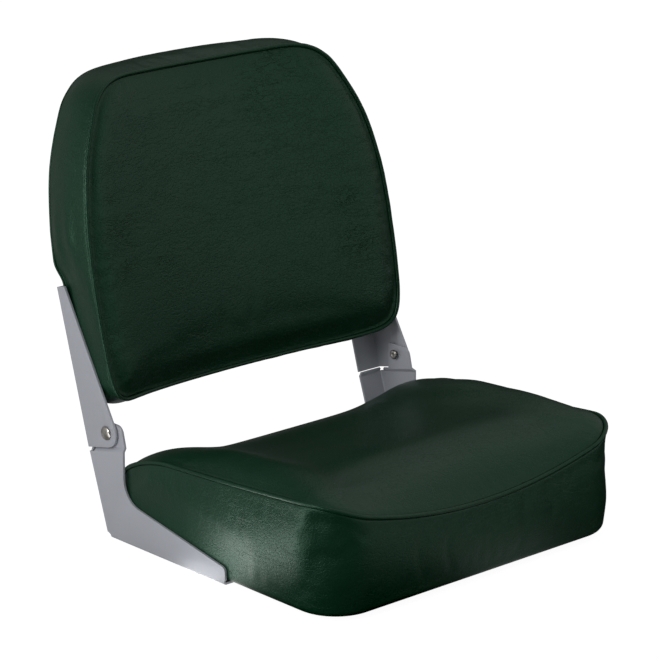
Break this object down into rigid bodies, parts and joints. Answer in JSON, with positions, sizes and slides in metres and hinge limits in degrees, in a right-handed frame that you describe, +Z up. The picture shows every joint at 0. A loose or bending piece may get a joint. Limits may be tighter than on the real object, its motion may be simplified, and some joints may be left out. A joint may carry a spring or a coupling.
{
  "type": "folding boat seat",
  "caption": "Low-back boat seat with piped vinyl cushions on riveted sheet brackets; the backrest folds forward onto the seat.",
  "frame": {"origin": "centre of the swivel-mount face under the seat", "axes": "+Z up, the seat's front toward -Y, +X toward the sitter's left, which is the right side seen from the front"},
  "size_m": [0.4166, 0.4846, 0.464],
  "materials": {
    "marine_vinyl": "satin, fine grain",
    "coated_steel": "satin powder coat",
    "bare_steel": "bright",
    "urethane_foam": "open cell",
    "moulded_frame": "matte",
    "white_nylon": "matte"
  },
  "bodies": {
    "seat": {"seat_pan": "moulded_frame", "seat_foam": "urethane_foam", "seat_top_panel": "marine_vinyl", "seat_side_band": "marine_vinyl", "seat_welt": "marine_vinyl", "left_lower_bracket": "coated_steel", "right_lower_bracket": "coated_steel", "left_rivet": "bare_steel", "right_rivet": "bare_steel", "left_washer": "white_nylon", "right_washer": "white_nylon", "left_seat_screw_1": "bare_steel", "left_seat_screw_2": "bare_steel", "left_seat_screw_3": "bare_steel", "right_seat_screw_1": "bare_steel", "right_seat_screw_2": "bare_steel", "right_seat_screw_3": "bare_steel", "tee_nut_front_left": "bare_steel", "tee_nut_front_right": "bare_steel", "tee_nut_rear_left": "bare_steel", "tee_nut_rear_right": "bare_steel"},
    "backrest": {"back_board": "moulded_frame", "back_foam": "urethane_foam", "back_front_panel": "marine_vinyl", "back_rear_panel": "marine_vinyl", "back_side_band": "marine_vinyl", "back_front_welt": "marine_vinyl", "back_rear_welt": "marine_vinyl", "left_upper_bracket": "coated_steel", "right_upper_bracket": "coated_steel", "left_back_screw_1": "bare_steel", "left_back_screw_2": "bare_steel", "left_back_screw_3": "bare_steel", "right_back_screw_1": "bare_steel", "right_back_screw_2": "bare_steel", "right_back_screw_3": "bare_steel"}
  },
  "joints": [
    {"name": "backrest_fold", "type": "hinge", "parent": "seat", "child": "backrest", "pos_m": [0, 0.17, 0.115], "axis": [1, 0, 0], "range_deg": [0, 94]}
  ]
}
